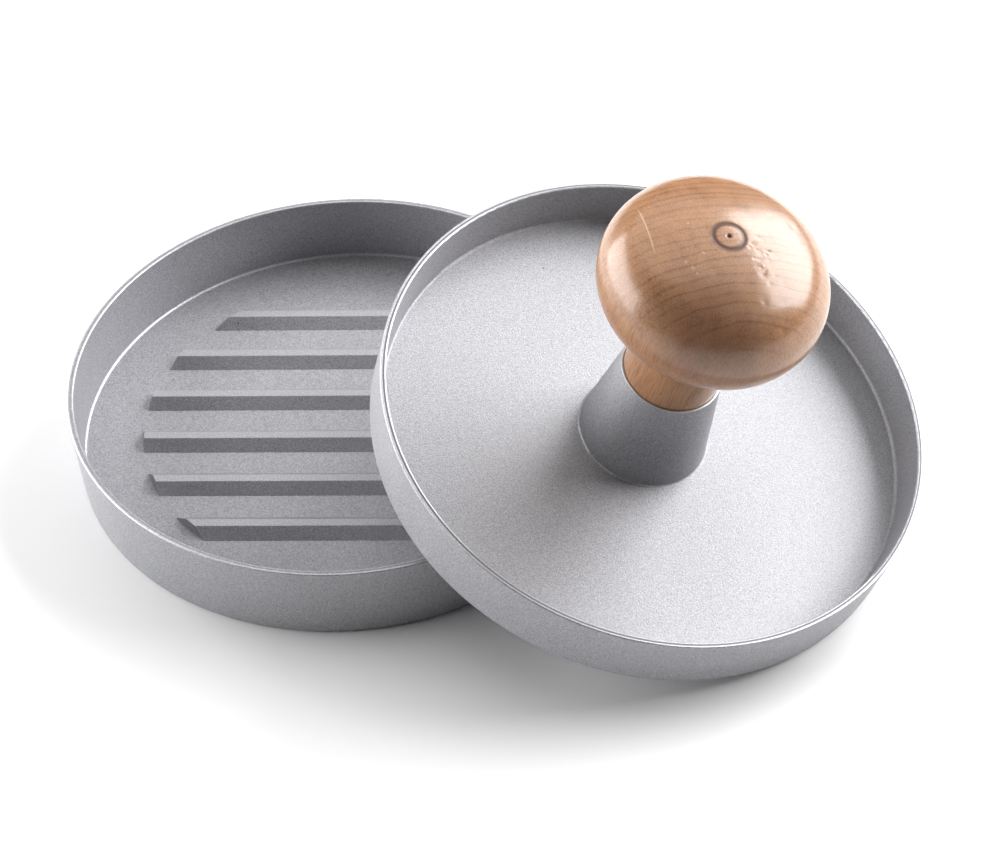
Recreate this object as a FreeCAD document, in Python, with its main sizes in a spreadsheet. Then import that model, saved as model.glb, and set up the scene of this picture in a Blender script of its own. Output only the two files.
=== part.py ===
import FreeCAD, Part
import Sketcher
import math
import os

# Patty press: a shallow ribbed mould lies flat, and the press leans on its rim. All sizes are in millimetres.
# The origin is the middle of the mould's underside, +Z is up and the mould's ribs run along X.
# Every piece of the press is modelled upright in the press's own frame, whose origin is the middle of the
# plate's underside and whose Z is the handle's axis, and then takes the leaning placement.

SIZES = [
    ("mould_height", 19.2, "mould, table to lip"),
    ("mould_rim_radius", 62.0, "outside of the mould's lip"),
    ("mould_base_radius", 61.1, "outside of the mould's wall at the table"),
    ("mould_mouth_radius", 60.5, "inside of the mould's lip"),
    ("mould_corner_radius", 60.1, "inside of the mould's wall at its floor"),
    ("mould_floor", 2.8, "thickness of the mould's floor"),
    ("rib_height", 2.2, "ribs above the floor"),
    ("rib_top_width", 2.0, "flat on a rib"),
    ("rib_base_width", 7.2, "foot of a rib"),
    ("rib_pitch", 13.8, "from one rib to the next"),
    ("mould_rib_shift", 1.4, "middle of the mould's ribs, off centre"),
    ("rib_end_foot", 46.9, "circle that the ribs' ends follow, at their foot"),
    ("rib_end_top", 46.3, "circle that the ribs' ends follow, at their top"),
    ("rib_edge", 0.3, "rounding of a rib's top edges"),
    ("rib_root", 0.5, "depth of the ribs' roots inside the castings"),
    ("lip_edge", 0.35, "rounding of both castings' lips"),
    ("corner_fillet", 0.6, "fillet between floor and wall"),
    ("foot_edge", 0.8, "rounding under both castings' walls"),
    ("plate_height", 15.0, "press, underside to lip"),
    ("plate_rim_radius", 60.3, "outside of the press's lip"),
    ("plate_base_radius", 59.9, "outside of the press's wall at its underside"),
    ("plate_mouth_radius", 58.9, "inside of the press's lip"),
    ("plate_corner_radius", 58.1, "inside of the press's wall at its floor"),
    ("plate_floor", 3.6, "thickness of the press's floor"),
    ("boss_foot_radius", 14.35, "boss at the press's floor"),
    ("boss_top_radius", 11.0, "boss at its mouth"),
    ("boss_height", 27.0, "boss above the underside"),
    ("boss_fillet", 0.55, "fillet round the boss's foot"),
    ("boss_lip_edge", 0.12, "rounding of the boss's mouth"),
    ("socket_mouth_radius", 10.55, "socket for the handle, at its mouth"),
    ("socket_floor_radius", 9.7, "socket for the handle, at its floor"),
    ("socket_floor", 9.0, "socket's floor above the underside"),
    ("seat_radius", 6.6, "recess under the boss for the screw's head"),
    ("seat_depth", 6.0, "depth of that recess"),
    ("screw_hole_radius", 2.8, "clearance hole for the screw"),
    ("neck_play", 0.05, "gap between the neck and its socket"),
    ("head_radius", 24.0, "handle at its widest"),
    ("head_equator", 57.8, "height of the widest place"),
    ("head_rise", 14.6, "widest place to crown"),
    ("head_drop", 18.4, "widest place to the belly's lowest point, were it whole"),
    ("head_shoulder", 12.3, "arc radius at the widest place"),
    ("neck_fillet", 4.0, "arc between belly and neck"),
    ("neck_chamfer", 0.8, "chamfer at the neck's end"),
    ("pilot_top", 25.0, "top of the bore above the insert"),
    ("pilot_radius", 2.7, "bore above the insert"),
    ("insert_radius", 3.5, "outside of the threaded insert"),
    ("insert_length", 12.0, "length of the threaded insert"),
    ("insert_sink", 0.3, "insert's end inside the neck's end"),
    ("insert_play", 0.02, "gap round the insert"),
    ("insert_bore_radius", 2.55, "insert's threaded bore"),
    ("insert_groove_depth", 0.35, "rings cut round the insert"),
    ("insert_groove_pitch", 1.5, "from one ring to the next"),
    ("insert_grooves", 7, "number of rings"),
    ("screw_radius", 2.5, "major radius of the screw"),
    ("screw_length", 20.0, "screw under its head"),
    ("thread_pitch", 0.8, "coarse pitch of the screw"),
    ("thread_depth", 0.45, "depth of the thread"),
    ("thread_turns", 21, "turns of thread"),
    ("screw_head_radius", 4.9, "pan head"),
    ("screw_head_height", 3.3, "pan head"),
    ("screw_head_round", 1.6, "rounding of the pan head"),
    ("cross_length", 5.2, "cross recess, tip to tip"),
    ("cross_width", 1.1, "cross recess, one slot"),
    ("cross_depth", 2.0, "cross recess"),
    ("washer_radius", 5.5, "flat washer"),
    ("washer_bore_radius", 2.65, "both washers"),
    ("washer_thickness", 1.0, "flat washer"),
    ("spring_radius", 4.6, "spring washer"),
    ("spring_thickness", 1.2, "spring washer"),
    ("spring_turn", 350, "degrees of ring before the spring washer's split"),
    ("lean_angle", 17.7, "degrees, plate from the table"),
    ("lean_heading", -36.8, "degrees from X, towards the plate's lowest edge"),
    ("press_along", 66.4, "middle of the plate's underside, along X"),
    ("press_across", -21.0, "middle of the plate's underside, along Y"),
]
MOULD_RIBS = 6
PLATE_RIBS = 5
NODES = ("mould", "press_plate", "handle", "threaded_insert", "handle_screw", "spring_washer", "flat_washer")

doc = FreeCAD.newDocument("patty_press")
sheet = doc.addObject("Spreadsheet::Sheet", "sizes")
for row, (alias, value, meaning) in enumerate(SIZES, start=1):
    sheet.set(f"A{row}", alias)
    sheet.set(f"B{row}", str(value))
    sheet.setAlias(f"B{row}", alias)
    sheet.set(f"C{row}", meaning)
doc.recompute()


def size(alias):
    return float(sheet.get(alias))


# ---- sketches and features -------------------------------------------------------------------------------


def origin_feature(body, role):
    return next(feature for feature in body.Origin.OriginFeatures if feature.Role == role)


def new_body(name):
    return doc.addObject("PartDesign::Body", name)


def new_sketch(body, name, role):
    sketch = body.newObject("Sketcher::SketchObject", name)
    sketch.AttachmentSupport = [(origin_feature(body, role), "")]
    sketch.MapMode = "FlatFace"
    return sketch


def pin_point(sketch, line, end, across, up):
    """Holds one end of a line at two expressions of the sheet, measured from the sketch's origin."""
    for kind, axis, expression in (("DistanceX", -2, across), ("DistanceY", -1, up)):
        if expression == "0":
            sketch.addConstraint(Sketcher.Constraint("PointOnObject", line, end, axis))
        else:
            index = sketch.addConstraint(Sketcher.Constraint(kind, line, end, 1.0))
            sketch.setExpression(f"Constraints[{index}]", expression)


def add_loop(sketch, corners):
    """Adds a closed run of lines whose corners are pairs of expressions."""
    first = sketch.GeometryCount
    count = len(corners)
    turn = 2 * math.pi / count
    ring = [FreeCAD.Vector(math.cos(i * turn), math.sin(i * turn), 0) for i in range(count)]
    for i in range(count):
        sketch.addGeometry(Part.LineSegment(ring[i], ring[(i + 1) % count]), False)
    for i in range(count):
        sketch.addConstraint(Sketcher.Constraint("Coincident", first + i, 2, first + (i + 1) % count, 1))
    for i, (across, up) in enumerate(corners):
        pin_point(sketch, first + i, 1, across, up)


def outline(body, name, role, corners):
    sketch = new_sketch(body, name, role)
    add_loop(sketch, corners)
    doc.recompute()
    return sketch


def revolve(body, name, sketch, kind="PartDesign::Revolution"):
    feature = body.newObject(kind, name)
    feature.Profile = sketch
    feature.ReferenceAxis = (sketch, ["V_Axis"])
    feature.Angle = 360
    doc.recompute()
    return feature


def pad_both_ways(body, name, sketch, length):
    pad = body.newObject("PartDesign::Pad", name)
    pad.Profile = sketch
    pad.SideType = "Symmetric"
    pad.setExpression("Length", length)
    doc.recompute()
    return pad


def ring_edges(shape, radius, height):
    """Names of the circular edges of one radius at one height round the Z axis."""
    names = []
    for index, edge in enumerate(shape.Edges, start=1):
        if edge.Degenerated or not isinstance(edge.Curve, Part.Circle):
            continue
        if abs(edge.Curve.Radius - radius) < 0.001 and abs(edge.Curve.Center.z - height) < 0.001:
            names.append(f"Edge{index}")
    return names


def long_edges(shape, height, length):
    """Names of the straight edges at one height that are at least so long."""
    names = []
    for index, edge in enumerate(shape.Edges, start=1):
        box = edge.BoundBox
        if abs(box.ZMin - height) < 0.001 and abs(box.ZMax - height) < 0.001 and edge.Length > length:
            names.append(f"Edge{index}")
    return names


def fillet(body, name, base, edges, radius):
    if not edges:
        raise RuntimeError(f"{name} has no edges")
    feature = body.newObject("PartDesign::Fillet", name)
    feature.Base = (base, edges)
    feature.setExpression("Radius", radius)
    doc.recompute()
    return feature


def cylinder(name, radius, height, bottom="0"):
    solid = doc.addObject("Part::Cylinder", name)
    solid.setExpression("Radius", radius)
    solid.setExpression("Height", height)
    solid.setExpression("Placement.Base.z", bottom)
    return solid


def boolean(kind, name, base, tool):
    result = doc.addObject(f"Part::{kind}", name)
    result.Base = base
    result.Tool = tool
    result.Refine = True
    doc.recompute()
    return result


# ---- the two castings ------------------------------------------------------------------------------------


def rib_bars(name, count, shift, root, crest):
    """Parallel bars of trapezoid section along X, whose ends follow a circle round the Z axis."""
    body = new_body(f"{name}_bars")
    sketch = new_sketch(body, f"{name}_sections", "YZ_Plane")
    for i in range(count):
        middle = f"{shift} + {i - (count - 1) / 2} * sizes.rib_pitch"
        add_loop(
            sketch,
            [
                (f"{middle} - sizes.rib_base_width / 2", root[0]),
                (f"{middle} + sizes.rib_base_width / 2", root[0]),
                (f"{middle} + sizes.rib_base_width / 2", root[1]),
                (f"{middle} + sizes.rib_top_width / 2", crest),
                (f"{middle} - sizes.rib_top_width / 2", crest),
                (f"{middle} - sizes.rib_base_width / 2", root[1]),
            ],
        )
    doc.recompute()
    return body, pad_both_ways(body, f"{name}_pad", sketch, "2 * sizes.rib_end_foot + 10")


def rib_ends(name, foot_radius, top_radius, bottom):
    cone = doc.addObject("Part::Cone", name)
    cone.setExpression("Radius1", foot_radius)
    cone.setExpression("Radius2", top_radius)
    cone.setExpression("Height", "sizes.rib_height + sizes.rib_root")
    cone.setExpression("Placement.Base.z", bottom)
    return cone


def make_mould():
    body = new_body("mould_dish")
    profile = outline(
        body,
        "mould_profile",
        "XZ_Plane",
        [
            ("0", "0"),
            ("sizes.mould_base_radius", "0"),
            ("sizes.mould_rim_radius", "sizes.mould_height"),
            ("sizes.mould_mouth_radius", "sizes.mould_height"),
            ("sizes.mould_corner_radius", "sizes.mould_floor"),
            ("0", "sizes.mould_floor"),
        ],
    )
    turned = revolve(body, "mould_turned", profile)
    corner = ring_edges(turned.Shape, size("mould_corner_radius"), size("mould_floor"))
    inside = fillet(body, "mould_corner", turned, corner, "sizes.corner_fillet")
    foot = ring_edges(inside.Shape, size("mould_base_radius"), 0)
    under = fillet(body, "mould_foot", inside, foot, "sizes.foot_edge")
    lip = ring_edges(under.Shape, size("mould_rim_radius"), size("mould_height"))
    lip += ring_edges(under.Shape, size("mould_mouth_radius"), size("mould_height"))
    fillet(body, "mould_lip", under, lip, "sizes.lip_edge")

    top = size("mould_floor") + size("rib_height")
    bars, pad = rib_bars(
        "mould_rib",
        MOULD_RIBS,
        "sizes.mould_rib_shift",
        ("sizes.mould_floor - sizes.rib_root", "sizes.mould_floor"),
        "sizes.mould_floor + sizes.rib_height",
    )
    fillet(bars, "mould_rib_edges", pad, long_edges(pad.Shape, top, size("rib_end_foot")), "sizes.rib_edge")
    ends = rib_ends(
        "mould_rib_ends", "sizes.rib_end_foot", "sizes.rib_end_top", "sizes.mould_floor - sizes.rib_root"
    )
    ribs = boolean("Common", "mould_ribs", bars, ends)
    return boolean("Fuse", "mould", body, ribs)


def make_press_plate():
    body = new_body("plate_dish")
    profile = outline(
        body,
        "plate_profile",
        "XZ_Plane",
        [
            ("0", "0"),
            ("sizes.plate_base_radius", "0"),
            ("sizes.plate_rim_radius", "sizes.plate_height"),
            ("sizes.plate_mouth_radius", "sizes.plate_height"),
            ("sizes.plate_corner_radius", "sizes.plate_floor"),
            ("sizes.boss_foot_radius", "sizes.plate_floor"),
            ("sizes.boss_top_radius", "sizes.boss_height"),
            ("sizes.socket_mouth_radius", "sizes.boss_height"),
            ("sizes.socket_floor_radius", "sizes.socket_floor"),
            ("0", "sizes.socket_floor"),
        ],
    )
    turned = revolve(body, "plate_turned", profile)
    corner = ring_edges(turned.Shape, size("plate_corner_radius"), size("plate_floor"))
    inside = fillet(body, "plate_corner", turned, corner, "sizes.corner_fillet")
    foot = ring_edges(inside.Shape, size("boss_foot_radius"), size("plate_floor"))
    boss = fillet(body, "boss_foot", inside, foot, "sizes.boss_fillet")
    edge = ring_edges(boss.Shape, size("plate_base_radius"), 0)
    under = fillet(body, "plate_foot", boss, edge, "sizes.foot_edge")
    lip = ring_edges(under.Shape, size("plate_rim_radius"), size("plate_height"))
    lip += ring_edges(under.Shape, size("plate_mouth_radius"), size("plate_height"))
    rim = fillet(body, "plate_lip", under, lip, "sizes.lip_edge")
    mouth = ring_edges(rim.Shape, size("boss_top_radius"), size("boss_height"))
    mouth += ring_edges(rim.Shape, size("socket_mouth_radius"), size("boss_height"))
    fillet(body, "boss_lip", rim, mouth, "sizes.boss_lip_edge")

    bars, pad = rib_bars(
        "plate_rib", PLATE_RIBS, "0", ("sizes.rib_root", "0"), "-sizes.rib_height"
    )
    crests = long_edges(pad.Shape, -size("rib_height"), size("rib_end_foot"))
    fillet(bars, "plate_rib_edges", pad, crests, "sizes.rib_edge")
    ends = rib_ends("plate_rib_ends", "sizes.rib_end_top", "sizes.rib_end_foot", "-sizes.rib_height")
    ribs = boolean("Common", "plate_ribs", bars, ends)
    ribbed = boolean("Fuse", "plate_ribbed", body, ribs)
    seat = cylinder("screw_seat", "sizes.seat_radius", "sizes.seat_depth + sizes.rib_height", "-sizes.rib_height")
    seated = boolean("Cut", "plate_seated", ribbed, seat)
    hole = cylinder("screw_hole", "sizes.screw_hole_radius", "sizes.socket_floor")
    return boolean("Cut", "press_plate", seated, hole)


# ---- the handle and what holds it ------------------------------------------------------------------------


def tangent_radius(radius, rise, shoulder):
    """Radius of the arc centred on the axis that meets the shoulder arc and ends at the given rise."""
    return (radius**2 - 2 * radius * shoulder + rise**2) / (2 * (rise - shoulder))


def make_handle():
    body = new_body("handle")
    sketch = new_sketch(body, "handle_profile", "XZ_Plane")
    radius = size("head_radius")
    shoulder = size("head_shoulder")
    equator = size("head_equator")
    crown = equator + size("head_rise")
    crown_arc = tangent_radius(radius, size("head_rise"), shoulder)
    belly_arc = tangent_radius(radius, size("head_drop"), shoulder)
    crown_centre = FreeCAD.Vector(0, crown - crown_arc, 0)
    belly_centre = FreeCAD.Vector(0, equator - size("head_drop") + belly_arc, 0)
    shoulder_centre = FreeCAD.Vector(radius - shoulder, equator, 0)
    neck_arc = size("neck_fillet")
    neck = size("socket_mouth_radius") - size("neck_play")
    neck_centre = FreeCAD.Vector(neck + neck_arc, 0, 0)
    reach = belly_arc + neck_arc
    neck_centre.y = belly_centre.y - math.sqrt(reach**2 - neck_centre.x**2)
    foot = size("socket_floor")
    foot_radius = size("socket_floor_radius") - size("neck_play")

    to_crown = shoulder_centre - crown_centre
    to_belly = shoulder_centre - belly_centre
    to_neck = neck_centre - belly_centre
    high = math.atan2(to_crown.y, to_crown.x)
    low = math.atan2(to_belly.y, to_belly.x)
    join = math.atan2(to_neck.y, to_neck.x)
    up = FreeCAD.Vector(0, 0, 1)

    def arc(centre, arc_radius, start, end):
        return Part.ArcOfCircle(Part.Circle(centre, up, arc_radius), start, end)

    neck_top = FreeCAD.Vector(neck, neck_centre.y, 0)
    corner = FreeCAD.Vector(foot_radius, foot, 0)
    pieces = [
        arc(crown_centre, crown_arc, high, math.pi / 2),
        arc(shoulder_centre, shoulder, low, high),
        arc(belly_centre, belly_arc, join, low),
        arc(neck_centre, neck_arc, join + math.pi, math.pi),
        Part.LineSegment(neck_top, FreeCAD.Vector(neck, size("boss_height"), 0)),
        Part.LineSegment(FreeCAD.Vector(neck, size("boss_height"), 0), corner),
        Part.LineSegment(corner, FreeCAD.Vector(0, foot, 0)),
        Part.LineSegment(FreeCAD.Vector(0, foot, 0), FreeCAD.Vector(0, crown, 0)),
    ]
    for piece in pieces:
        sketch.addGeometry(piece, False)
    crown_id, shoulder_id, belly_id, fillet_id, neck_id, taper_id, foot_id, axis_id = range(len(pieces))
    for first, first_end, second, second_end in (
        (crown_id, 1, shoulder_id, 2),
        (shoulder_id, 1, belly_id, 2),
        (belly_id, 1, fillet_id, 1),
        (fillet_id, 2, neck_id, 1),
    ):
        sketch.addConstraint(Sketcher.Constraint("Tangent", first, first_end, second, second_end))
    for first, first_end, second, second_end in (
        (neck_id, 2, taper_id, 1),
        (taper_id, 2, foot_id, 1),
        (foot_id, 2, axis_id, 1),
        (axis_id, 2, crown_id, 2),
    ):
        sketch.addConstraint(Sketcher.Constraint("Coincident", first, first_end, second, second_end))
    sketch.addConstraint(Sketcher.Constraint("PointOnObject", crown_id, 3, -2))
    sketch.addConstraint(Sketcher.Constraint("PointOnObject", belly_id, 3, -2))
    sketch.addConstraint(Sketcher.Constraint("Vertical", neck_id))
    sketch.addConstraint(Sketcher.Constraint("PointOnObject", axis_id, 1, -2))
    sketch.addConstraint(Sketcher.Constraint("PointOnObject", axis_id, 2, -2))
    sketch.addConstraint(Sketcher.Constraint("Horizontal", foot_id))
    for kind, geometry, end, expression in (
        ("DistanceX", shoulder_id, 3, "sizes.head_radius - sizes.head_shoulder"),
        ("DistanceY", shoulder_id, 3, "sizes.head_equator"),
        ("DistanceY", crown_id, 2, "sizes.head_equator + sizes.head_rise"),
        ("DistanceX", taper_id, 1, "sizes.socket_mouth_radius - sizes.neck_play"),
        ("DistanceY", taper_id, 1, "sizes.boss_height"),
        ("DistanceX", taper_id, 2, "sizes.socket_floor_radius - sizes.neck_play"),
        ("DistanceY", taper_id, 2, "sizes.socket_floor"),
    ):
        place = sketch.getPoint(geometry, end)
        drawn = place.x if kind == "DistanceX" else place.y
        index = sketch.addConstraint(Sketcher.Constraint(kind, geometry, end, drawn))
        sketch.setExpression(f"Constraints[{index}]", expression)
    drop_radius = (
        "(sizes.head_radius^2 - 2 * sizes.head_radius * sizes.head_shoulder + sizes.head_drop^2)"
        " / (2 * (sizes.head_drop - sizes.head_shoulder))"
    )
    for geometry, expression in (
        (shoulder_id, "sizes.head_shoulder"),
        (belly_id, drop_radius),
        (fillet_id, "sizes.neck_fillet"),
    ):
        drawn = sketch.Geometry[geometry].Radius
        index = sketch.addConstraint(Sketcher.Constraint("Radius", geometry, drawn))
        sketch.setExpression(f"Constraints[{index}]", expression)
    doc.recompute()
    turned = revolve(body, "handle_turned", sketch)

    foot_edge = ring_edges(turned.Shape, foot_radius, foot)
    chamfer = body.newObject("PartDesign::Chamfer", "neck_end")
    chamfer.Base = (turned, foot_edge)
    chamfer.setExpression("Size", "sizes.neck_chamfer")
    doc.recompute()
    insert_top = "sizes.socket_floor + sizes.insert_sink + sizes.insert_length"
    bore = outline(
        body,
        "handle_bore_profile",
        "XZ_Plane",
        [
            ("0", "sizes.socket_floor"),
            ("sizes.insert_radius + sizes.insert_play", "sizes.socket_floor"),
            ("sizes.insert_radius + sizes.insert_play", insert_top),
            ("sizes.pilot_radius", insert_top),
            ("sizes.pilot_radius", "sizes.pilot_top"),
            ("0", "sizes.pilot_top + sizes.pilot_radius / 2"),
        ],
    )
    cut_round(body, "handle_bore", bore)
    return body


def cut_round(body, name, sketch):
    """Cuts a profile turned about the Z axis, and makes sure that it removes something."""
    before = body.Shape.Volume
    revolve(body, name, sketch, "PartDesign::Groove")
    if body.Shape.Volume > before - 0.01:
        raise RuntimeError(f"{name} cuts nothing")


def repeat_up(body, name, original, pitch, count):
    pattern = body.newObject("PartDesign::LinearPattern", name)
    pattern.Originals = [original]
    pattern.Direction = (origin_feature(body, "Z_Axis"), [""])
    pattern.Mode = "Spacing"
    pattern.setExpression("Offset", pitch)
    pattern.setExpression("Occurrences", count)
    body.Tip = pattern
    doc.recompute()
    return pattern


def ring_groove(body, name, outer, depth, pitch, bottom):
    """One V-shaped ring, cut from outside, whose lower edge is at the given height."""
    sketch = outline(
        body,
        f"{name}_profile",
        "XZ_Plane",
        [
            (f"{outer} + {depth} / 4", bottom),
            (f"{outer} + {depth} / 4", f"{bottom} + {pitch} * 0.9"),
            (f"{outer} - {depth}", f"{bottom} + {pitch} * 0.45"),
        ],
    )
    cut_round(body, name, sketch)
    return body.getObject(name)


def make_threaded_insert():
    body = new_body("threaded_insert")
    bottom = "sizes.socket_floor + sizes.insert_sink"
    top = f"{bottom} + sizes.insert_length"
    profile = outline(
        body,
        "insert_profile",
        "XZ_Plane",
        [
            ("sizes.insert_bore_radius", bottom),
            ("sizes.insert_radius", bottom),
            ("sizes.insert_radius", top),
            ("sizes.insert_bore_radius", top),
        ],
    )
    revolve(body, "insert_turned", profile)
    groove = ring_groove(
        body,
        "insert_ring",
        "sizes.insert_radius",
        "sizes.insert_groove_depth",
        "sizes.insert_groove_pitch",
        f"{bottom} + sizes.insert_groove_pitch / 2",
    )
    repeat_up(body, "insert_rings", groove, "sizes.insert_groove_pitch", "sizes.insert_grooves")
    return body


def make_handle_screw():
    body = new_body("handle_screw")
    seat = "sizes.seat_depth - sizes.washer_thickness - sizes.spring_thickness"
    head = f"{seat} - sizes.screw_head_height"
    tip = f"{seat} + sizes.screw_length"
    profile = outline(
        body,
        "screw_profile",
        "XZ_Plane",
        [
            ("0", head),
            ("sizes.screw_head_radius", head),
            ("sizes.screw_head_radius", seat),
            ("sizes.screw_radius", seat),
            ("sizes.screw_radius", f"{tip} - sizes.thread_depth"),
            ("sizes.screw_radius - sizes.thread_depth", tip),
            ("0", tip),
        ],
    )
    turned = revolve(body, "screw_turned", profile)
    seat_height = size("seat_depth") - size("washer_thickness") - size("spring_thickness")
    head_height = seat_height - size("screw_head_height")
    rim = ring_edges(turned.Shape, size("screw_head_radius"), head_height)
    fillet(body, "screw_head_edge", turned, rim, "sizes.screw_head_round")
    groove = ring_groove(
        body,
        "screw_thread",
        "sizes.screw_radius",
        "sizes.thread_depth",
        "sizes.thread_pitch",
        f"{tip} - (sizes.thread_turns + 1) * sizes.thread_pitch",
    )
    repeat_up(body, "screw_threads", groove, "sizes.thread_pitch", "sizes.thread_turns")
    for name, role in (("cross_x", "XZ_Plane"), ("cross_y", "YZ_Plane")):
        slot = outline(
            body,
            f"{name}_profile",
            role,
            [
                ("-sizes.cross_length / 2", head),
                ("sizes.cross_length / 2", head),
                ("0", f"{head} + sizes.cross_depth"),
            ],
        )
        before = body.Shape.Volume
        pocket = body.newObject("PartDesign::Pocket", name)
        pocket.Profile = slot
        pocket.SideType = "Symmetric"
        pocket.setExpression("Length", "sizes.cross_width")
        doc.recompute()
        if body.Shape.Volume > before - 0.01:
            raise RuntimeError(f"{name} cuts nothing")
    return body


def make_washer(name, outer, thickness, bottom, turn):
    body = new_body(name)
    profile = outline(
        body,
        f"{name}_profile",
        "XZ_Plane",
        [
            ("sizes.washer_bore_radius", bottom),
            (outer, bottom),
            (outer, f"{bottom} + {thickness}"),
            ("sizes.washer_bore_radius", f"{bottom} + {thickness}"),
        ],
    )
    turned = revolve(body, f"{name}_turned", profile)
    turned.setExpression("Angle", turn)
    doc.recompute()
    return body


# ---- the leaning press -----------------------------------------------------------------------------------


def press_placement():
    """Leans the press so that the rounded edge of its underside touches the table.

    Its ribs are turned level, so that the mould's rim lies in the gap between two of them.
    """
    lean = math.radians(size("lean_angle"))
    heading = math.radians(size("lean_heading"))
    edge = size("foot_edge")
    height = (size("plate_base_radius") - edge) * math.sin(lean) - edge * (math.cos(lean) - 1)
    level = FreeCAD.Vector(-math.sin(heading), math.cos(heading), 0)
    lean_over = FreeCAD.Rotation(level, size("lean_angle"))
    turn_ribs = FreeCAD.Rotation(FreeCAD.Vector(0, 0, 1), size("lean_heading") + 90)
    place = FreeCAD.Vector(size("press_along"), size("press_across"), height)
    return FreeCAD.Placement(place, lean_over.multiply(turn_ribs))


def check_document():
    for item in doc.Objects:
        if "Invalid" in item.State or "Error" in item.State:
            raise RuntimeError(f"{item.Name} is {item.State}")


def main():
    mould = make_mould()
    spring_bottom = "sizes.seat_depth - sizes.washer_thickness - sizes.spring_thickness"
    flat_bottom = "sizes.seat_depth - sizes.washer_thickness"
    press = [
        make_press_plate(),
        make_handle(),
        make_threaded_insert(),
        make_handle_screw(),
        make_washer(
            "spring_washer", "sizes.spring_radius", "sizes.spring_thickness", spring_bottom, "sizes.spring_turn"
        ),
        make_washer("flat_washer", "sizes.washer_radius", "sizes.washer_thickness", flat_bottom, "360"),
    ]
    leaning = press_placement()
    for piece in press:
        piece.Placement = leaning
    doc.recompute()
    check_document()
    os.makedirs("parts", exist_ok=True)
    for piece in [mould] + press:
        piece.Label = piece.Name
        shape = piece.Shape
        if shape.isNull() or not shape.isValid() or len(shape.Solids) != 1:
            raise RuntimeError(f"{piece.Label} is not one valid solid")
        if piece.Label not in NODES:
            raise RuntimeError(f"{piece.Label} is not a known node")
        shape.exportStep(f"parts/{piece.Label}.step")
        print(f"{piece.Label}: {shape.Volume / 1000:.2f} cm3")


main()
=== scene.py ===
import math
import random

import bmesh
import bpy
from mathutils import Matrix, Vector, noise


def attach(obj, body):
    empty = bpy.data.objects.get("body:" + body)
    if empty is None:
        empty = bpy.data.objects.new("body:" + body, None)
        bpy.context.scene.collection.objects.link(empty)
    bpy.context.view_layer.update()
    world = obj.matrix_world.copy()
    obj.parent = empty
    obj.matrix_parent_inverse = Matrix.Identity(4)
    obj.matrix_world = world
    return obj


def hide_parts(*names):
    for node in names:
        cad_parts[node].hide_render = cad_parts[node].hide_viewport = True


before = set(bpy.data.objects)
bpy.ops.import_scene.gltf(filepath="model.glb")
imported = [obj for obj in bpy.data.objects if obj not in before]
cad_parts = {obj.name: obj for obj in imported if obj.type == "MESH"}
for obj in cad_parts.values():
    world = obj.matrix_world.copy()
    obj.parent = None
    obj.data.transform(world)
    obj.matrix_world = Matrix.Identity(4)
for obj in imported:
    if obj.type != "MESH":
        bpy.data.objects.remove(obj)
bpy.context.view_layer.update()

# Patty press: a ribbed mould on a white table, and a press with a turned wooden knob that leans on its rim.
# Objects are in metres in the row's frame. The press's own frame has its origin in the middle of the plate's
# underside and its Z along the handle's axis, and GRAIN_TURN turns its X to where the growth rings run.
# A casting's or the handle's sizes below are in millimetres in its own frame, and angles are in degrees.

MM = 0.001

# Camera: place in metres, heading from +Y towards +X, drop below the horizon, roll, and lens and sensor.
CAMERA_PLACE = Vector((0.05334, -0.41516, 0.40709))
CAMERA_HEADING = -2.505
CAMERA_DROP = 44.350
CAMERA_ROLL = -2.015
CAMERA_LENS = 90.82
CAMERA_SENSOR = 36

# How the press leans. The lengths are in metres.
PLATE_BASE_RADIUS = 59.9 * MM
PLATE_FOOT_EDGE = 0.8 * MM
PLATE_MIDDLE = (66.4 * MM, -21.0 * MM)
LEAN_ANGLE = 17.7
LEAN_HEADING = -36.8
GRAIN_TURN = 19.0

# Castings. A wall is its lip's inner radius, outer radius, height and how dark the painted shade line along
# the middle of the lip is.
MOULD_WALL = (60.5, 62.0, 19.2, 0.2)
PLATE_WALL = (58.9, 60.3, 15.0, 0.6)
MOULD_FLOOR = 2.8
MOULD_CORNER = (59.5, 60.3)
RIB_TOP = 5.0
RIB_REACH = 50.0
BOSS_MOUTH_EDGE = (10.0, 11.3)
BOSS_FOOT = 3.6
BOSS_FOOT_EDGE = (14.3, 14.8)
PITS_PER_MM = 0.16
PIT_SIZE = 0.055
PRESS_PIT_SHIFT = 31.0
ALUMINIUM_LEVEL = 0.385
ALUMINIUM_BLUE = 1.05
GRAIN_CONTRAST = 0.13
# Painted highlight: how much brighter the worn bands and the lip's edges are painted.
WEAR_AND_HIGHLIGHT_BRIGHTER = 0.16
WORN_SMOOTHER = 0.28
STEEL = (0.62, 0.61, 0.60)
BRASS = (0.78, 0.58, 0.26)

# The handle's outline, and the steps of its arcs, its neck and its turn round the axis.
HEAD_RADIUS = 24.0
HEAD_EQUATOR = 57.8
HEAD_RISE = 14.6
HEAD_DROP = 18.4
HEAD_SHOULDER = 12.3
NECK_RADIUS = 10.5
NECK_ARC = 4.0
NECK_MOUTH = 27.0
NECK_END_RADIUS = 9.65
NECK_END = 9.0
NECK_CHAMFER = 0.8
BORE_RADIUS = 3.52
BORE_TOP = 21.3
PILOT_RADIUS = 2.7
PILOT_TOP = 25.0
CROWN_STEPS = 100
SHOULDER_STEPS = 60
BELLY_STEPS = 30
NECK_ARC_STEPS = 12
NECK_STEPS = 8
AROUND = 288

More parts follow.
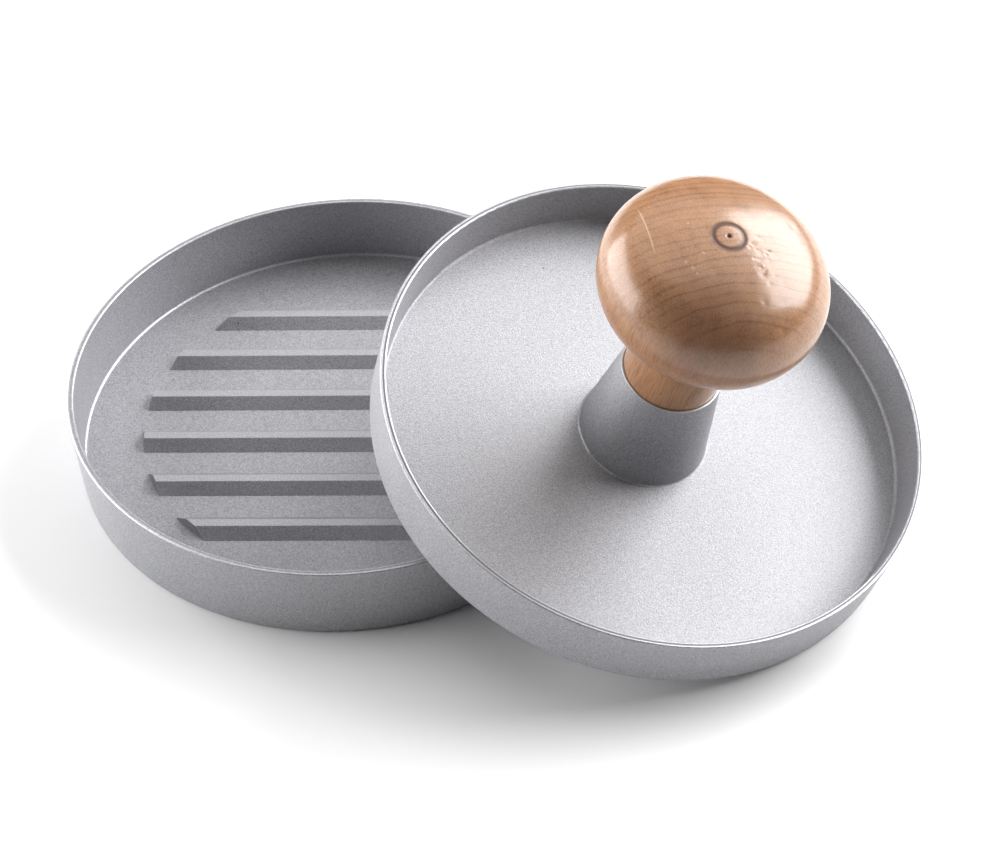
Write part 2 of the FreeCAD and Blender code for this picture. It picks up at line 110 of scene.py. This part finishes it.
# What turning, the lathe's centre, sanding and use left on the head. Depths are into the wood.
CROWN_MARK = (-1.0, 0.3)
CROWN_RING = 3.2
RING_WIDTH = 0.42
RING_DEPTH = 0.09
BUTTON_RADIUS = 2.9
BUTTON_RISE = 0.05
CENTRE_RADIUS = 0.40
CENTRE_DEPTH = 0.5
MEAN_SINK = 0.03
SINK_WAVES_PER_MM = 0.16
SANDED_FROM = NECK_MOUTH + 5
SCRATCH_OFFSET = 16.1
SCRATCH_MIDDLE = 6.6
SCRATCH_SLANT = -0.09
SCUFF_RAGGED = 0.9

# Scuffs: place on the crown and radius.
SCUFFS = (
    (-7.9, 5.2, 0.45),
    (-7.4, -2.6, 0.50),
    (-11.2, -3.6, 0.40),
    (-10.3, -5.2, 0.50),
    (-9.8, -6.6, 0.35),
)

# Clusters of dents: middle and spread on the crown, how many, and their least and greatest radius.
DENTS = (
    ((5.0, -6.5), (1.7, 4.6), 38, (0.3, 0.8)),
    ((-8.2, -1.0), (1.6, 4.4), 7, (0.4, 0.7)),
    ((3.9, -19.6), (1.5, 0.8), 4, (0.4, 0.7)),
    ((12.0, 0.5), (2.0, 3.0), 4, (0.4, 0.8)),
)
DENT_DEPTH = (0.02, 0.07)
DENT_SEED = 7

# Wood. The growth rings are circles about the pith, which is far outside the knob.
FROM_PITH = (14.0, 150.0, 0.0)
RINGS_PER_MM = 0.52
RING_SWAY = 2.6
RING_CONTRAST = 0.44
WOOD_TONES = [
    (0.0, (0.43, 0.227, 0.116)),
    (0.35, (0.36, 0.181, 0.089)),
    (0.75, (0.255, 0.118, 0.055)),
    (1.0, (0.165, 0.073, 0.035)),
]
PORE_BROWN = (0.13, 0.065, 0.04, 1)
DASH_BROWN = (0.08, 0.035, 0.02, 1)
RING_AND_CENTRE_BROWN = (0.115, 0.05, 0.03, 1)
SCRATCH_PALE = (0.72, 0.52, 0.36, 1)
# Painted shade: the front of the head is painted dark brown round this place, from the outer reach in to the
# inner one, with this strength and brown.
PAINTED_SHADE_PLACE = (-9.0, -17.5, 64.0)
PAINTED_SHADE_OUTSIDE = 18.0
PAINTED_SHADE_INSIDE = 4.0
PAINTED_SHADE_STRENGTH = 0.42
PAINTED_SHADE_BROWN = (0.085, 0.036, 0.034, 1)

# Studio, in metres. A softbox is its name, azimuth from +Y towards +X, elevation, distance, width, height and
# power in watts.
TABLE_SIZE = 1.7
TABLE_WHITE = (0.92, 0.94)
FILL_STRENGTH = 0.03
BACKDROP_GREY = (0.72, 0.72, 0.72, 1)
LIGHT_AIM = Vector((0.04, -0.01, 0.02))
SOFTBOXES = (
    ("key_softbox", 62, 31, 1.2, 1.15, 0.72, 28),
    ("left_softbox", -80, 16, 1.2, 1.45, 0.80, 27),
    ("top_softbox", 0, 64, 1.6, 2.2, 1.8, 16),
)


# ---- camera ----------------------------------------------------------------------------------------------


def aim_camera():
    data = bpy.data.cameras.new("camera")
    data.lens = CAMERA_LENS
    data.sensor_width = CAMERA_SENSOR
    data.dof.use_dof = False
    camera = bpy.data.objects.new("camera", data)
    bpy.context.collection.objects.link(camera)
    heading, drop, roll = (math.radians(a) for a in (CAMERA_HEADING, CAMERA_DROP, CAMERA_ROLL))
    ahead = Vector((math.sin(heading) * math.cos(drop), math.cos(heading) * math.cos(drop), -math.sin(drop)))
    level = ahead.cross(Vector((0, 0, 1))).normalized()
    above = level.cross(ahead)
    right = math.cos(roll) * level + math.sin(roll) * above
    up = right.cross(ahead)
    turn = Matrix((right, up, -ahead)).transposed()
    camera.matrix_world = Matrix.Translation(CAMERA_PLACE) @ turn.to_4x4()
    bpy.context.scene.camera = camera


# ---- the press's own frame -------------------------------------------------------------------------------


def press_frame():
    """Matrix from the press's own frame, in metres, to the row's frame."""
    lean = math.radians(LEAN_ANGLE)
    heading = math.radians(LEAN_HEADING)
    height = (PLATE_BASE_RADIUS - PLATE_FOOT_EDGE) * math.sin(lean) - PLATE_FOOT_EDGE * (math.cos(lean) - 1)
    level = Vector((-math.sin(heading), math.cos(heading), 0))
    lean_over = Matrix.Rotation(lean, 4, level)
    turn = Matrix.Rotation(math.radians(GRAIN_TURN), 4, "Z")
    place = Matrix.Translation((*PLATE_MIDDLE, height))
    return place @ lean_over @ turn


# ---- node helpers ----------------------------------------------------------------------------------------


class Nodes:
    """Builds one material's node tree. A method's inputs are sockets or plain values."""

    def __init__(self, name):
        self.material = bpy.data.materials.new(name)
        self.material.use_nodes = True
        self.tree = self.material.node_tree
        self.tree.nodes.clear()
        self.output = self.tree.nodes.new("ShaderNodeOutputMaterial")

    def node(self, kind, inputs=None, **settings):
        made = self.tree.nodes.new(kind)
        for key, value in settings.items():
            setattr(made, key, value)
        for key, value in (inputs or {}).items():
            self.feed(made.inputs[key], value)
        return made

    def feed(self, socket, value):
        if isinstance(value, bpy.types.NodeSocket):
            self.tree.links.new(value, socket)
        elif value is not None:
            socket.default_value = value

    def math(self, operation, a, b=None, clamp=False):
        made = self.node("ShaderNodeMath", operation=operation, use_clamp=clamp)
        for socket, value in zip(made.inputs, (a, b)):
            self.feed(socket, value)
        return made.outputs[0]

    def vector(self, operation, a, b=None):
        made = self.node("ShaderNodeVectorMath", operation=operation)
        self.feed(made.inputs[0], a)
        self.feed(made.inputs[1], b)
        return made.outputs["Value" if operation in ("LENGTH", "DISTANCE") else "Vector"]

    def local(self, matrix=None):
        """Place in millimetres, in the row's frame or in the frame that the matrix leads from."""
        back = (matrix or Matrix.Identity(4)).inverted()
        made = self.node("ShaderNodeMapping", {"Vector": self.node("ShaderNodeTexCoord").outputs["Object"]})
        made.inputs["Location"].default_value = back.translation / MM
        made.inputs["Rotation"].default_value = back.to_euler("XYZ")
        made.inputs["Scale"].default_value = (1 / MM, 1 / MM, 1 / MM)
        return made.outputs["Vector"]

    def noise(self, place, scale, detail=2.0, rough=0.5, distortion=0.0):
        made = self.node(
            "ShaderNodeTexNoise",
            {"Vector": place, "Scale": scale, "Detail": detail, "Roughness": rough, "Distortion": distortion},
        )
        return made.outputs["Fac"]

    def colour_noise(self, place, scale):
        """Noise with a value of its own in each of three channels."""
        return self.node("ShaderNodeTexNoise", {"Vector": place, "Scale": scale}).outputs["Color"]

    def cells(self, place, scale, output="Distance"):
        made = self.node("ShaderNodeTexVoronoi", {"Vector": place, "Scale": scale})
        return made.outputs[output]

    def span(self, value, low, high, to_low=0.0, to_high=1.0, smooth=False):
        """Maps low to to_low and high to to_high, and stays at these beyond them."""
        made = self.node("ShaderNodeMapRange", interpolation_type="SMOOTHSTEP" if smooth else "LINEAR")
        for key, item in (("Value", value), ("From Min", low), ("From Max", high)):
            self.feed(made.inputs[key], item)
        made.inputs["To Min"].default_value = to_low
        made.inputs["To Max"].default_value = to_high
        return made.outputs["Result"]

    def apart(self, a, b):
        """How far a and b are apart."""
        return self.math("ABSOLUTE", self.math("SUBTRACT", a, b))

    def between(self, value, low, high, soft=0.06):
        """1 between low and high, 0 outside, with soft flanks."""
        half = (high - low) / 2
        return self.span(self.apart(value, (low + high) / 2), half + soft, half - soft)

    def mix(self, factor, a, b):
        made = self.node("ShaderNodeMix", data_type="RGBA")
        self.feed(made.inputs["Factor"], factor)
        self.feed(made.inputs["A"], a)
        self.feed(made.inputs["B"], b)
        return made.outputs["Result"]

    def ramp(self, value, stops):
        made = self.node("ShaderNodeValToRGB", {"Fac": value})
        elements = made.color_ramp.elements
        while len(elements) < len(stops):
            elements.new(0.5)
        for element, (position, colour) in zip(elements, stops):
            element.position = position
            element.color = (*colour, 1)
        return made.outputs["Color"]

    def bump(self, height, distance, strength):
        made = self.node("ShaderNodeBump", {"Height": height, "Strength": strength, "Distance": distance})
        return made.outputs["Normal"]

    def surface(self, **inputs):
        """Ends the tree with a Principled BSDF. An underscore in an input's name stands for a space."""
        shader = self.node("ShaderNodeBsdfPrincipled")
        for key, value in inputs.items():
            self.feed(shader.inputs[key.replace("_", " ")], value)
        self.tree.links.new(shader.outputs[0], self.output.inputs["Surface"])
        return self.material


# ---- materials -------------------------------------------------------------------------------------------


def cast_aluminium(name, matrix, wall, worn_and_highlit, pit_shift):
    """Bead-blasted casting: matt grain with sparkles, faint clouds of tone, a few pits and brighter edges.

    Each band of wear and painted highlight is an inner and an outer radius, a low and a high height, and how
    bright it is, in the casting's own frame, which the matrix leads from. A band is made smoother as worn
    metal and painted brighter as a highlight.
    """
    n = Nodes(name)
    place = n.local(matrix)
    radius = n.vector("LENGTH", n.vector("MULTIPLY", place, (1.0, 1.0, 0.0)))
    height = n.node("ShaderNodeSeparateXYZ", {"Vector": place}).outputs["Z"]
    grain = n.noise(place, 3.0, 2, 0.7, 0.3)
    coarse = n.noise(place, 0.9, 2, 0.5)
    cloud = n.noise(place, 0.045, 3, 0.55)
    sparkle = n.span(n.noise(n.vector("ADD", place, (5.3, 1.9, 8.8)), 3.4, 1, 0.5), 0.66, 0.76)
    shifted = n.vector("ADD", place, (pit_shift, 3.1, 7.7))
    pit_size = n.span(n.cells(shifted, PITS_PER_MM, "Color"), 0.35, 1.0, 0.0, PIT_SIZE)
    pit = n.math("LESS_THAN", n.cells(shifted, PITS_PER_MM), pit_size)

    # Painted highlight: each band is worn metal, made smoother below, and painted brighter as a highlight on
    # its rounded edge.
    bright = 0.0
    for inner, outer, low, high, amount in worn_and_highlit:
        band = n.math("MULTIPLY", n.between(radius, inner, outer), n.between(height, low, high))
        bright = n.math("MAXIMUM", bright, n.math("MULTIPLY", band, amount))
    inside, outside, lip_height, lip_shade_darkness = wall
    middle = 0.55 * inside + 0.45 * outside
    on_lip = n.math("GREATER_THAN", height, lip_height - 0.5)
    # Painted highlight: two bright lines along the lip's rounded edges, which are also made smoother.
    lip = n.math("MULTIPLY", n.span(n.apart(radius, middle), 0.20, 0.42), on_lip)
    lip = n.math("MULTIPLY", lip, n.between(radius, inside + 0.05, outside - 0.10))
    # Painted shade: a dark line along the middle of the lip, between the two painted highlights.
    lip_middle_shade = n.math("MULTIPLY", n.span(n.apart(radius, middle), 0.26, 0.08), on_lip)
    bright = n.math("MAXIMUM", bright, lip)

    speckle = n.span(grain, 0.3, 0.7, -GRAIN_CONTRAST, GRAIN_CONTRAST)
    tone = n.math("ADD", speckle, n.span(cloud, 0.3, 0.7, -0.012, 0.012))
    tone = n.math("ADD", tone, n.math("MULTIPLY", sparkle, 0.16))
    level = n.math("ADD", n.math("ADD", tone, n.math("MULTIPLY", coarse, 0.03)), ALUMINIUM_LEVEL)
    # The bands' painted highlights brighten the colour here.
    level = n.math("ADD", level, n.math("MULTIPLY", bright, WEAR_AND_HIGHLIGHT_BRIGHTER))
    # Pits darken the metal, and the painted shade line darkens the lip's middle.
    dark = n.math("MAXIMUM", n.math("MULTIPLY", pit, 0.6), n.math("MULTIPLY", lip_middle_shade, lip_shade_darkness))
    level = n.math("MULTIPLY", level, n.math("SUBTRACT", 1.0, dark))
    blue = n.math("MULTIPLY", level, ALUMINIUM_BLUE)
    colour = n.node("ShaderNodeCombineColor", {"Red": level, "Green": level, "Blue": blue})
    rough = n.math("ADD", n.span(grain, 0.25, 0.75, 0.56, 0.70), n.span(cloud, 0.3, 0.7, -0.02, 0.02))
    rough = n.math("SUBTRACT", rough, n.math("MULTIPLY", bright, WORN_SMOOTHER))
    relief = n.math("ADD", grain, n.math("MULTIPLY", coarse, 0.5))
    relief = n.math("SUBTRACT", relief, n.math("MULTIPLY", pit, 1.5))
    return n.surface(
        Base_Color=colour.outputs["Color"],
        Metallic=0.75,
        Roughness=rough,
        Normal=n.bump(relief, 0.07 * MM, 0.8),
    )


def lacquered_wood():
    """Spindle-turned hardwood: growth rings run along the handle, and are nearly straight lines on its crown.

    Shade is painted on the front of the head as a dark brown patch. The lacquer is thin on the dark ring and
    in the centre hole.
    """
    n = Nodes("lacquered_wood")
    place = n.local(press_frame())
    flat = n.vector("MULTIPLY", place, (1.0, 1.0, 0.0))
    wave = n.noise(n.vector("MULTIPLY", place, (0.08, 0.08, 0.015)), 1.0, 2, 0.5)
    sway = n.math("MULTIPLY", n.math("SUBTRACT", wave, 0.5), RING_SWAY)
    from_pith = n.math("ADD", n.vector("LENGTH", n.vector("ADD", flat, FROM_PITH)), sway)
    by_ring = n.node("ShaderNodeCombineXYZ", {"X": n.math("MULTIPLY", from_pith, 0.3)})
    uneven = n.math("MULTIPLY", n.noise(by_ring.outputs[0], 1.0, 2), 2.0)
    ring = n.math("FRACT", n.math("ADD", n.math("MULTIPLY", from_pith, RINGS_PER_MM), uneven))
    line = n.math("MULTIPLY", n.span(ring, 0.52, 0.92, smooth=True), n.span(ring, 1.0, 0.88))
    strength = n.span(n.noise(by_ring.outputs[0], 2.6, 1), 0.35, 0.62, 0.25, 1.0)
    line = n.math("MULTIPLY", line, strength)
    axes = n.node("ShaderNodeSeparateXYZ", {"Vector": place}).outputs
    end_grain = n.span(axes["Z"], HEAD_EQUATOR + 3.0, HEAD_EQUATOR + 11.0, 0.14, 1.0)
    line = n.math("MULTIPLY", line, end_grain)

    fibre = n.noise(n.vector("MULTIPLY", place, (3.4, 3.4, 0.2)), 1.0, 4, 0.62)
    cloud = n.noise(n.vector("MULTIPLY", place, (0.08, 0.08, 0.035)), 1.0, 3, 0.5)
    pores = n.cells(n.vector("MULTIPLY", place, (2.1, 2.1, 0.5)), 1.0)
    pore = n.math("MULTIPLY", n.span(pores, 0.16, 0.07), n.span(cloud, 0.46, 0.58))
    figure = n.noise(n.vector("MULTIPLY", place, (0.30, 0.18, 0.10)), 1.0, 3, 0.6)
    tone = n.math("ADD", n.math("MULTIPLY", line, RING_CONTRAST), n.span(fibre, 0.3, 0.7, -0.18, 0.58))
    tone = n.math("ADD", tone, n.span(cloud, 0.32, 0.68, -0.06, 0.24))
    tone = n.math("ADD", tone, n.span(figure, 0.35, 0.65, -0.12, 0.16))
    colour = n.ramp(tone, WOOD_TONES)
    colour = n.mix(n.math("MULTIPLY", pore, 0.55), colour, PORE_BROWN)
    # Painted shade: the front of the head is darkened towards a brown here.
    from_painted_shade = n.vector("DISTANCE", place, PAINTED_SHADE_PLACE)
    painted_shade = n.span(from_painted_shade, PAINTED_SHADE_OUTSIDE, PAINTED_SHADE_INSIDE, 0.0, PAINTED_SHADE_STRENGTH, smooth=True)
    colour = n.mix(painted_shade, colour, PAINTED_SHADE_BROWN)
    dashes = n.cells(n.vector("MULTIPLY", place, (1.1, 1.1, 0.30)), 1.0)
    on_neck = n.span(axes["Z"], NECK_MOUTH + 9, NECK_MOUTH + 4)
    dash = n.math("MULTIPLY", n.span(dashes, 0.17, 0.11), on_neck)
    colour = n.mix(n.math("MULTIPLY", dash, 0.65), colour, DASH_BROWN)

    on_crown = n.math("GREATER_THAN", axes["Z"], HEAD_EQUATOR)
    radius = n.vector("DISTANCE", flat, (*CROWN_MARK, 0.0))
    in_ring = n.span(n.apart(radius, CROWN_RING), 1.0, 0.2, smooth=True)
    # The ring over the turned groove and the centre hole are painted darker brown, and the lacquer is made
    # thinner there.
    dark_ring_and_centre = n.math("MULTIPLY", n.math("ADD", in_ring, n.span(radius, 0.75, 0.25, 0.0, 0.9)), on_crown)
    colour = n.mix(dark_ring_and_centre, colour, RING_AND_CENTRE_BROWN)
    scratch = n.math("MAXIMUM", scratch_mask(n, axes), scuff_mask(n, flat))
    colour = n.mix(n.math("MULTIPLY", n.math("MULTIPLY", scratch, 0.6), on_crown), colour, SCRATCH_PALE)

    ripple = n.noise(place, 0.30, 2, 0.5)
    orange_peel = n.noise(place, 1.0, 2, 0.5)
    coat_height = n.math("ADD", ripple, n.math("MULTIPLY", orange_peel, 0.16))
    coat_height = n.math("SUBTRACT", coat_height, n.math("MULTIPLY", scratch, 0.12))
    return n.surface(
        Base_Color=colour,
        Roughness=n.span(fibre, 0.3, 0.7, 0.42, 0.55),
        Specular_IOR_Level=0.2,
        Coat_Weight=n.math("SUBTRACT", 1.0, n.math("MULTIPLY", dark_ring_and_centre, 0.7)),
        Coat_Roughness=n.span(cloud, 0.3, 0.7, 0.18, 0.26),
        Coat_Normal=n.bump(coat_height, 0.10 * MM, 0.6),
        Normal=n.bump(fibre, 0.02 * MM, 0.4),
    )


def scratch_mask(n, axes):
    """One fine scratch across the crown, 16 mm from the axis and 13 mm long."""
    slant = n.math("ADD", n.math("MULTIPLY", axes["Y"], SCRATCH_SLANT), SCRATCH_OFFSET)
    off = n.math("ADD", axes["X"], slant)
    thin = n.span(n.math("ABSOLUTE", off), 0.16, 0.05)
    along = n.apart(axes["Y"], SCRATCH_MIDDLE)
    return n.math("MULTIPLY", thin, n.span(along, 6.8, 4.5))


def scuff_mask(n, flat):
    """Small pale scuffs on the crown, with ragged edges."""
    shake = n.vector("MULTIPLY", n.colour_noise(flat, 1.3), (SCUFF_RAGGED, SCUFF_RAGGED, 0.0))
    ragged = n.vector("ADD", flat, shake)
    mask = 0.0
    for x, y, size in SCUFFS:
        away = n.vector("DISTANCE", ragged, (x + SCUFF_RAGGED / 2, y + SCUFF_RAGGED / 2, 0.0))
        spot = n.span(away, size, size * 0.3, 0.0, 0.6)
        mask = n.math("MAXIMUM", mask, spot)
    return mask


def turned_metal(name, colour, roughness):
    """Small turned hardware: faint rings of the tool and a little unevenness."""
    n = Nodes(name)
    place = n.local(press_frame())
    flat = n.vector("MULTIPLY", place, (1.0, 1.0, 0.0))
    rings = n.math("SINE", n.math("MULTIPLY", n.vector("LENGTH", flat), 38.0))
    mottle = n.noise(place, 1.2, 3, 0.6)
    shade = n.math("ADD", n.span(rings, -1, 1, -0.04, 0.04), n.span(mottle, 0.3, 0.7, -0.1, 0.1))
    dull = tuple(0.7 * c for c in colour)
    bright = n.mix(n.math("ADD", shade, 0.5, clamp=True), (*dull, 1), (*colour, 1))
    return n.surface(
        Base_Color=bright,
        Metallic=1.0,
        Roughness=n.math("ADD", n.span(mottle, 0.3, 0.7, -0.06, 0.08), roughness),
        Normal=n.bump(n.math("ADD", rings, mottle), 0.01 * MM, 0.5),
    )


def white_table():
    n = Nodes("white_table")
    place = n.local()
    cloud = n.noise(place, 0.01, 2, 0.5)
    level = n.span(cloud, 0.3, 0.7, *TABLE_WHITE)
    colour = n.node("ShaderNodeCombineColor", {"Red": level, "Green": level, "Blue": level})
    return n.surface(Base_Color=colour.outputs["Color"], Roughness=0.6, Specular_IOR_Level=0.2)


# ---- the turned handle -----------------------------------------------------------------------------------


def arc_points(centre, radius, start, end, count):
    """Points along an arc, both ends included. Angles are in radians."""
    angles = [start + (end - start) * i / count for i in range(count + 1)]
    return [(centre[0] + radius * math.cos(a), centre[1] + radius * math.sin(a)) for a in angles]


def cap_radius(rise):
    """Radius of the arc centred on the axis that meets the shoulder arc and ends at the given rise."""
    return (HEAD_RADIUS**2 - 2 * HEAD_RADIUS * HEAD_SHOULDER + rise**2) / (2 * (rise - HEAD_SHOULDER))


def handle_profile():
    """Pairs of radius and height in millimetres, from the crown down to the pilot bore's top."""
    crown_arc = cap_radius(HEAD_RISE)
    belly_arc = cap_radius(HEAD_DROP)
    crown_centre = (0.0, HEAD_EQUATOR + HEAD_RISE - crown_arc)
    belly_centre = (0.0, HEAD_EQUATOR - HEAD_DROP + belly_arc)
    shoulder_centre = (HEAD_RADIUS - HEAD_SHOULDER, HEAD_EQUATOR)
    neck_x = NECK_RADIUS + NECK_ARC
    neck_centre = (neck_x, belly_centre[1] - math.sqrt((belly_arc + NECK_ARC) ** 2 - neck_x**2))
    high = math.atan2(shoulder_centre[1] - crown_centre[1], shoulder_centre[0])
    low = math.atan2(shoulder_centre[1] - belly_centre[1], shoulder_centre[0])
    join = math.atan2(neck_centre[1] - belly_centre[1], neck_centre[0])
    points = arc_points(crown_centre, crown_arc, math.pi / 2, high, CROWN_STEPS)
    points += arc_points(shoulder_centre, HEAD_SHOULDER, high, low, SHOULDER_STEPS)[1:]
    points += arc_points(belly_centre, belly_arc, low, join, BELLY_STEPS)[1:]
    points += arc_points(neck_centre, NECK_ARC, join + math.pi, math.pi, NECK_ARC_STEPS)[1:]
    neck_top = neck_centre[1]
    for i in range(1, NECK_STEPS + 1):
        points.append((NECK_RADIUS, neck_top + (NECK_MOUTH - neck_top) * i / NECK_STEPS))
    slope = (NECK_RADIUS - NECK_END_RADIUS) / (NECK_MOUTH - NECK_END)
    points.append((NECK_END_RADIUS + slope * NECK_CHAMFER, NECK_END + NECK_CHAMFER))
    points.append((NECK_END_RADIUS - NECK_CHAMFER, NECK_END))
    points += [(BORE_RADIUS, NECK_END), (BORE_RADIUS, BORE_TOP), (PILOT_RADIUS, BORE_TOP)]
    points += [(PILOT_RADIUS, PILOT_TOP), (0.0, PILOT_TOP + PILOT_RADIUS / 2)]
    return points


def crown_cut(radius):
    """Depth, in millimetres, that the turning tool and the lathe's centre left in the crown."""
    ring = RING_DEPTH * math.exp(-(((radius - CROWN_RING) / RING_WIDTH) ** 2))
    button = BUTTON_RISE * max(0.0, 1 - radius / BUTTON_RADIUS)
    centre = CENTRE_DEPTH * math.exp(-((radius / CENTRE_RADIUS) ** 2))
    return ring + centre - button


def dents():
    """Small dents in the head's lacquer: place on the crown, radius and depth in millimetres."""
    chance = random.Random(DENT_SEED)
    made = []
    for middle, spread, count, sizes in DENTS:
        for _ in range(count):
            place = Vector((chance.gauss(middle[0], spread[0]), chance.gauss(middle[1], spread[1]), 0))
            made.append((place, chance.uniform(*sizes), chance.uniform(*DENT_DEPTH)))
    return made


def dent_depth(point, marks):
    across = Vector((point.x, point.y, 0))
    return sum(depth * math.exp(-(((across - mark).length / size) ** 2)) for mark, size, depth in marks)


def worked(point, marks):
    """A point of the plain turned outline, moved in to where turning, sanding and use left the surface."""
    moved = point.copy()
    on_crown = point.z > HEAD_EQUATOR
    if on_crown:
        moved.z -= crown_cut(math.dist(point.xy, CROWN_MARK))
    if point.z > SANDED_FROM:
        out = (moved - Vector((0, 0, HEAD_EQUATOR))).normalized()
        sink = MEAN_SINK * (1 + noise.noise(moved * SINK_WAVES_PER_MM))
        if on_crown:
            sink += dent_depth(moved, marks)
        moved -= out * sink
    return moved


def outline_ring(mesh, radius, height, marks):
    """A point of the outline turned round the axis: one vertex on the axis, AROUND of them elsewhere."""
    if radius < 1e-6:
        cut = crown_cut(math.hypot(*CROWN_MARK)) if height > HEAD_EQUATOR else 0.0
        return [mesh.verts.new(Vector((0, 0, height - cut)) * MM)]
    ring = []
    for i in range(AROUND):
        turn = 2 * math.pi * i / AROUND
        point = Vector((radius * math.cos(turn), radius * math.sin(turn), height))
        ring.append(mesh.verts.new(worked(point, marks) * MM))
    return ring


def join_rings(mesh, upper, lower):
    for i in range(AROUND):
        j = (i + 1) % AROUND
        if len(upper) == 1:
            mesh.faces.new((upper[0], lower[i], lower[j]))
        elif len(lower) == 1:
            mesh.faces.new((upper[i], lower[0], upper[j]))
        else:
            mesh.faces.new((upper[i], lower[i], lower[j], upper[j]))


def make_handle():
    marks = dents()
    mesh = bmesh.new()
    rings = [outline_ring(mesh, radius, height, marks) for radius, height in handle_profile()]
    for upper, lower in zip(rings, rings[1:]):
        join_rings(mesh, upper, lower)
    data = bpy.data.meshes.new("turned_handle")
    mesh.to_mesh(data)
    mesh.free()
    data.transform(press_frame())
    data.polygons.foreach_set("use_smooth", [True] * len(data.polygons))
    data.set_sharp_from_angle(angle=math.radians(35))
    piece = bpy.data.objects.new("turned_handle", data)
    bpy.context.collection.objects.link(piece)
    data.materials.append(lacquered_wood())
    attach(piece, "press")
    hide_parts("handle")


# ---- the pieces that stay --------------------------------------------------------------------------------


def paint(node, material):
    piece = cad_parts[node]
    piece.data.materials.clear()
    piece.data.materials.append(material)


def paint_pieces():
    """The bands of wear and painted highlight are the ribs' tops, the corner of the mould's floor, and the
    boss's mouth and foot.
    """
    rib_tops = (-1.0, RIB_REACH, RIB_TOP - 0.12, RIB_TOP + 1.0, 0.35)
    corner = (*MOULD_CORNER, MOULD_FLOOR + 0.05, MOULD_FLOOR + 0.5, 0.8)
    worn_and_highlit = [rib_tops, corner]
    paint("mould", cast_aluminium("cast_aluminium_mould", Matrix.Identity(4), MOULD_WALL, worn_and_highlit, 0.0))
    mouth = (*BOSS_MOUTH_EDGE, NECK_MOUTH - 0.25, NECK_MOUTH + 1.0, 0.6)
    foot = (*BOSS_FOOT_EDGE, BOSS_FOOT + 0.1, BOSS_FOOT + 0.4, 1.0)
    worn_and_highlit = [mouth, foot]
    press_look = cast_aluminium("cast_aluminium_press", press_frame(), PLATE_WALL, worn_and_highlit, PRESS_PIT_SHIFT)
    paint("press_plate", press_look)
    steel = turned_metal("stainless_steel", STEEL, 0.28)
    for node in ("handle_screw", "spring_washer", "flat_washer"):
        paint(node, steel)
    paint("threaded_insert", turned_metal("brass", BRASS, 0.32))


# ---- table and light -------------------------------------------------------------------------------------


def make_table():
    bpy.ops.mesh.primitive_plane_add(size=TABLE_SIZE)
    table = bpy.context.object
    table.name = "table"
    table.data.materials.append(white_table())


def softbox(name, azimuth, elevation, distance, width, height, power):
    """A soft rectangular light that faces the object."""
    data = bpy.data.lights.new(name, "AREA")
    data.shape = "RECTANGLE"
    data.size = width
    data.size_y = height
    data.energy = power
    light = bpy.data.objects.new(name, data)
    bpy.context.collection.objects.link(light)
    around, up = math.radians(azimuth), math.radians(elevation)
    way = Vector((math.sin(around) * math.cos(up), math.cos(around) * math.cos(up), math.sin(up)))
    facing = way.to_track_quat("Z", "Y").to_matrix().to_4x4()
    light.matrix_world = Matrix.Translation(LIGHT_AIM + way * distance) @ facing


def light_scene():
    """Three softboxes, and a world that the camera sees as a pale backdrop and that adds a faint fill."""
    world = bpy.data.worlds.new("studio")
    bpy.context.scene.world = world
    world.use_nodes = True
    nodes, links = world.node_tree.nodes, world.node_tree.links
    fill = nodes["Background"]
    fill.inputs["Color"].default_value = (1, 1, 1, 1)
    fill.inputs["Strength"].default_value = FILL_STRENGTH
    backdrop = nodes.new("ShaderNodeBackground")
    backdrop.inputs["Color"].default_value = BACKDROP_GREY
    either = nodes.new("ShaderNodeMixShader")
    links.new(nodes.new("ShaderNodeLightPath").outputs["Is Camera Ray"], either.inputs["Fac"])
    links.new(fill.outputs[0], either.inputs[1])
    links.new(backdrop.outputs[0], either.inputs[2])
    links.new(either.outputs[0], nodes["World Output"].inputs["Surface"])
    for light in SOFTBOXES:
        softbox(*light)
    bpy.context.scene.view_settings.view_transform = "Standard"
    bpy.context.scene.view_settings.look = "None"


aim_camera()
make_handle()
paint_pieces()
make_table()
light_scene()
